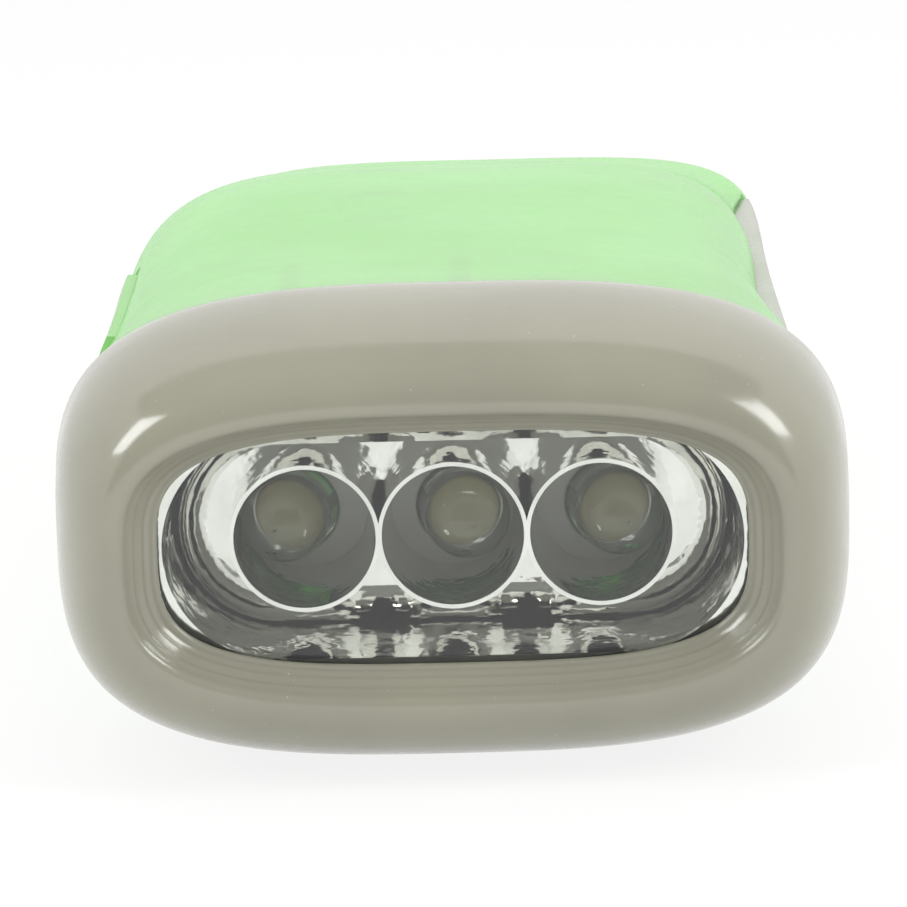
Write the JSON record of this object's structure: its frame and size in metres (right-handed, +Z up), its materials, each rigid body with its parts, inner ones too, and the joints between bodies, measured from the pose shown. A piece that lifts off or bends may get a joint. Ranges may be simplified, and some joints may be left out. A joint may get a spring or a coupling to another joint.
{
  "type": "hand squeeze dynamo torch",
  "caption": "Pocket dynamo torch with an oval grey head, LEDs in a chrome reflector, a translucent green case and a side squeeze lever driving a geared generator.",
  "frame": {"origin": "middle of the flat underside's level, under the centre of the bounding box", "axes": "-Y is the way the torch shines, +X is the lever side, +Z is up from the flat underside"},
  "size_m": [0.0464, 0.102, 0.0275],
  "materials": {
    "bezel_grey": "glossy moulded ABS",
    "window_clear": "clear moulded polystyrene",
    "reflector_chrome": "vacuum-metallised plastic",
    "led_epoxy": "clear cast epoxy",
    "tinned_wire": "tinned steel",
    "board_white": "white solder mask on glass-fibre board",
    "diode_black": "moulded epoxy",
    "case_green": "translucent green polystyrene",
    "screw_steel": "zinc-plated steel",
    "lever_grey": "moulded ABS",
    "pin_steel": "ground steel",
    "spring_steel": "music wire",
    "gear_white": "moulded acetal",
    "drum_grey": "moulded acetal",
    "magnet_black": "sintered ferrite",
    "flywheel_steel": "turned steel",
    "core_steel": "stamped laminations",
    "bobbin_white": "moulded nylon",
    "winding_copper": "enamelled copper wire",
    "wire_red": "PVC insulation",
    "cell_steel": "nickel-plated steel",
    "sleeve_green": "shrink sleeve",
    "tab_nickel": "nickel strip",
    "switch_green": "translucent green polystyrene",
    "switch_black": "moulded nylon",
    "lock_grey": "moulded ABS"
  },
  "bodies": {
    "case": {"front_bezel": "bezel_grey", "window_lens": "window_clear", "reflector": "reflector_chrome", "led_left": "led_epoxy", "led_middle": "led_epoxy", "led_right": "led_epoxy", "led_leads": "tinned_wire", "led_board": "board_white", "rectifier_diodes": "diode_black", "upper_shell": "case_green", "lower_shell": "case_green", "case_screws": "screw_steel", "lever_pin": "pin_steel", "return_spring": "spring_steel", "first_axle": "pin_steel", "second_axle": "pin_steel", "rotor_axle": "pin_steel", "stator_core": "core_steel", "coil_bobbin": "bobbin_white", "coil_winding": "winding_copper", "coil_leads": "wire_red", "battery_cells": "cell_steel", "battery_sleeve": "sleeve_green", "battery_tabs": "tab_nickel", "switch_body": "switch_black", "switch_leads": "wire_red"},
    "lever": {"squeeze_lever": "lever_grey"},
    "first_gear": {"first_gear": "gear_white", "clutch_drum": "drum_grey"},
    "second_gear": {"second_gear": "gear_white"},
    "rotor": {"rotor_gear": "gear_white", "ring_magnet": "magnet_black", "flywheel": "flywheel_steel"},
    "switch": {"switch_slider": "switch_green", "switch_nub": "switch_black"},
    "lock": {"lock_slider": "lock_grey"}
  },
  "joints": [
    {"name": "lever_hinge", "type": "hinge", "parent": "case", "child": "lever", "pos_m": [0.0163, -0.0285, 0.012], "axis": [0, 0, -1], "range_deg": [0, 26], "deforming": ["return_spring"]},
    {"name": "first_gear_spin", "type": "hinge", "parent": "case", "child": "first_gear", "pos_m": [-0.00481, -0.00058, 0.01], "axis": [0, 0, 1], "range_deg": [0, 160]},
    {"name": "second_gear_spin", "type": "hinge", "parent": "case", "child": "second_gear", "pos_m": [-0.00481, 0.01342, 0.01], "axis": [0, 0, 1], "range_deg": [-480, 0]},
    {"name": "rotor_spin", "type": "hinge", "parent": "case", "child": "rotor", "pos_m": [0.00186, 0.0241, 0.01], "axis": [0, 0, 1], "range_deg": [0, 1247]},
    {"name": "switch_slide", "type": "slide", "parent": "case", "child": "switch", "axis": [0, -1, 0], "range_m": [0, 0.002]},
    {"name": "lock_slide", "type": "slide", "parent": "case", "child": "lock", "axis": [0, -1, 0], "range_m": [0, 0.003]}
  ],
  "couplings": [
    {"joint": "first_gear_spin", "follows": "lever_hinge", "ratio": 6.1429},
    {"joint": "second_gear_spin", "follows": "lever_hinge", "ratio": -18.429},
    {"joint": "rotor_spin", "follows": "lever_hinge", "ratio": 47.914}
  ]
}
